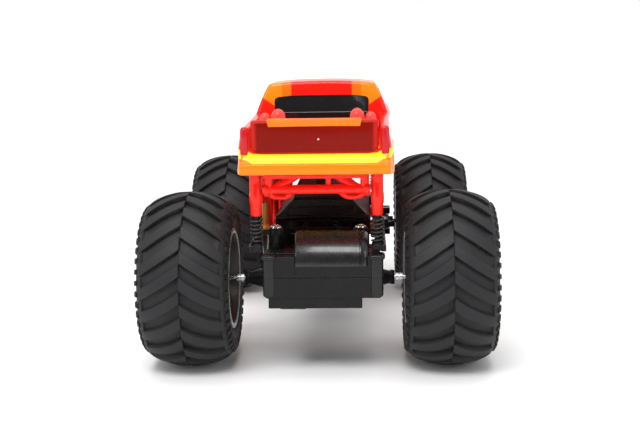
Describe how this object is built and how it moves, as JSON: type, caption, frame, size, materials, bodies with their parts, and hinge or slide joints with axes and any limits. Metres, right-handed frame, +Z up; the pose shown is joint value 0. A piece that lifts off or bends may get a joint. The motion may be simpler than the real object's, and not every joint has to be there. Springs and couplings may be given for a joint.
{
  "type": "remote control car",
  "caption": "Toy radio-controlled monster truck: red and orange pickup body on a red tube frame, big chevron tyres, sprung axles, geared rear drive and rack steering.",
  "frame": {"origin": "On the ground under the middle of the truck, at the bottom centre of its bounding box.", "axes": "+X to the truck's right, +Y forward, +Z up."},
  "size_m": [0.139, 0.208, 0.112],
  "materials": {
    "body_paint": "glossy",
    "glazing": "glossy",
    "lens": "clear",
    "frame_plastic": "satin",
    "black_plastic": "satin",
    "shock_rod": "satin",
    "spring": "satin",
    "tyre": "matte",
    "rim": "satin",
    "steel": "brushed",
    "nylon": "matte",
    "brass": "satin",
    "cell": "glossy",
    "board": "satin"
  },
  "bodies": {
    "chassis": {"body_shell": "body_paint", "cab_glazing": "glazing", "front_grille": "black_plastic", "headlight_left": "lens", "headlight_right": "lens", "side_frame_left": "frame_plastic", "side_frame_right": "frame_plastic", "cross_frame_rear": "frame_plastic", "cross_frame_front": "frame_plastic", "chassis_tub": "black_plastic", "chassis_lid": "black_plastic", "circuit_board": "board", "battery_1": "cell", "battery_2": "cell", "battery_3": "cell", "contact_plate_rear": "brass", "contact_plate_front": "brass", "spring_rear_left": "spring", "spring_rear_right": "spring", "spring_front_left": "spring", "spring_front_right": "spring"},
    "battery_cover": {"battery_door": "black_plastic", "battery_door_screw": "steel"},
    "switch": {"power_switch": "black_plastic"},
    "rear_axle": {"gearbox_lower": "black_plastic", "gearbox_upper": "black_plastic", "tower_screw_left": "steel", "tower_screw_right": "steel", "drive_motor": "steel", "reduction_pin": "steel", "shock_rods_rear_left": "shock_rod", "shock_rods_rear_right": "shock_rod"},
    "motor_rotor": {"motor_pinion": "brass"},
    "reduction": {"reduction_gear": "nylon"},
    "rear_wheelset": {"axle_shaft_rear": "steel", "axle_gear": "nylon", "tyre_rear_left": "tyre", "rim_rear_left": "rim", "wheel_nut_rear_left": "steel", "tyre_rear_right": "tyre", "rim_rear_right": "rim", "wheel_nut_rear_right": "steel"},
    "rear_wishbone": {"wishbone_rear": "black_plastic"},
    "front_wishbone": {"wishbone_front": "black_plastic"},
    "front_axle": {"front_axle_housing": "black_plastic", "steering_motor": "steel", "shock_rods_front_left": "shock_rod", "shock_rods_front_right": "shock_rod"},
    "steering_rod": {"steering_rack": "black_plastic"},
    "steering_drive": {"steering_pinion": "nylon"},
    "left_knuckle": {"knuckle_left": "black_plastic"},
    "right_knuckle": {"knuckle_right": "black_plastic"},
    "front_left_wheel": {"tyre_front_left": "tyre", "rim_front_left": "rim", "wheel_nut_front_left": "steel"},
    "front_right_wheel": {"tyre_front_right": "tyre", "rim_front_right": "rim", "wheel_nut_front_right": "steel"}
  },
  "joints": [
    {"name": "rear_suspension", "type": "slide", "parent": "chassis", "child": "rear_axle", "axis": [0, 0, 1], "range_m": [-0.002, 0.004], "stiffness_N_per_m": 900, "springref_m": -0.00115, "deforming": ["spring_rear_left", "spring_rear_right"]},
    {"name": "front_suspension", "type": "slide", "parent": "chassis", "child": "front_axle", "axis": [0, 0, 1], "range_m": [-0.002, 0.004], "stiffness_N_per_m": 900, "springref_m": -0.00093, "deforming": ["spring_front_left", "spring_front_right"]},
    {"name": "rear_wishbone_pivot", "type": "hinge", "parent": "chassis", "child": "rear_wishbone", "pos_m": [0, -0.0395, 0.049], "axis": [1, 0, 0], "range_deg": [-16, 8]},
    {"name": "front_wishbone_pivot", "type": "hinge", "parent": "chassis", "child": "front_wishbone", "pos_m": [0, 0.0395, 0.049], "axis": [1, 0, 0], "range_deg": [-8, 16]},
    {"name": "rear_wheels_spin", "type": "hinge", "parent": "rear_axle", "child": "rear_wheelset", "pos_m": [0, -0.069, 0.035], "axis": [1, 0, 0], "continuous": true},
    {"name": "reduction_spin", "type": "hinge", "parent": "rear_axle", "child": "reduction", "pos_m": [-0.009, -0.08, 0.0347], "axis": [1, 0, 0], "continuous": true},
    {"name": "motor_spin", "type": "hinge", "parent": "rear_axle", "child": "motor_rotor", "pos_m": [-0.006, -0.082, 0.0445], "axis": [1, 0, 0], "continuous": true},
    {"name": "steering_slide", "type": "slide", "parent": "front_axle", "child": "steering_rod", "axis": [1, 0, 0], "range_m": [-0.003, 0.003]},
    {"name": "steering_pinion_spin", "type": "hinge", "parent": "front_axle", "child": "steering_drive", "pos_m": [0, 0.059, 0.0404], "axis": [0, 1, 0], "range_deg": [-58, 58]},
    {"name": "left_steer", "type": "hinge", "parent": "front_axle", "child": "left_knuckle", "pos_m": [-0.028, 0.069, 0.035], "axis": [0, 0, 1], "range_deg": [-17.5, 17.5]},
    {"name": "right_steer", "type": "hinge", "parent": "front_axle", "child": "right_knuckle", "pos_m": [0.028, 0.069, 0.035], "axis": [0, 0, 1], "range_deg": [-17.5, 17.5]},
    {"name": "front_left_spin", "type": "hinge", "parent": "left_knuckle", "child": "front_left_wheel", "pos_m": [-0.0515, 0.069, 0.035], "axis": [1, 0, 0], "continuous": true},
    {"name": "front_right_spin", "type": "hinge", "parent": "right_knuckle", "child": "front_right_wheel", "pos_m": [0.0515, 0.069, 0.035], "axis": [1, 0, 0], "continuous": true},
    {"name": "battery_door_hinge", "type": "hinge", "parent": "chassis", "child": "battery_cover", "pos_m": [0, 0.0262, 0.038], "axis": [1, 0, 0], "range_deg": [0, 38]},
    {"name": "power_switch_slide", "type": "slide", "parent": "chassis", "child": "switch", "axis": [1, 0, 0], "range_m": [0, 0.003]}
  ],
  "couplings": [
    {"joint": "rear_wishbone_pivot", "follows": "rear_suspension", "rad_per_m": -67},
    {"joint": "front_wishbone_pivot", "follows": "front_suspension", "rad_per_m": 67},
    {"joint": "reduction_spin", "follows": "rear_wheels_spin", "ratio": -2.6667},
    {"joint": "motor_spin", "follows": "rear_wheels_spin", "ratio": 8},
    {"joint": "steering_pinion_spin", "follows": "steering_slide", "rad_per_m": -333.33},
    {"joint": "left_steer", "follows": "steering_slide", "rad_per_m": 100},
    {"joint": "right_steer", "follows": "steering_slide", "rad_per_m": 100}
  ]
}
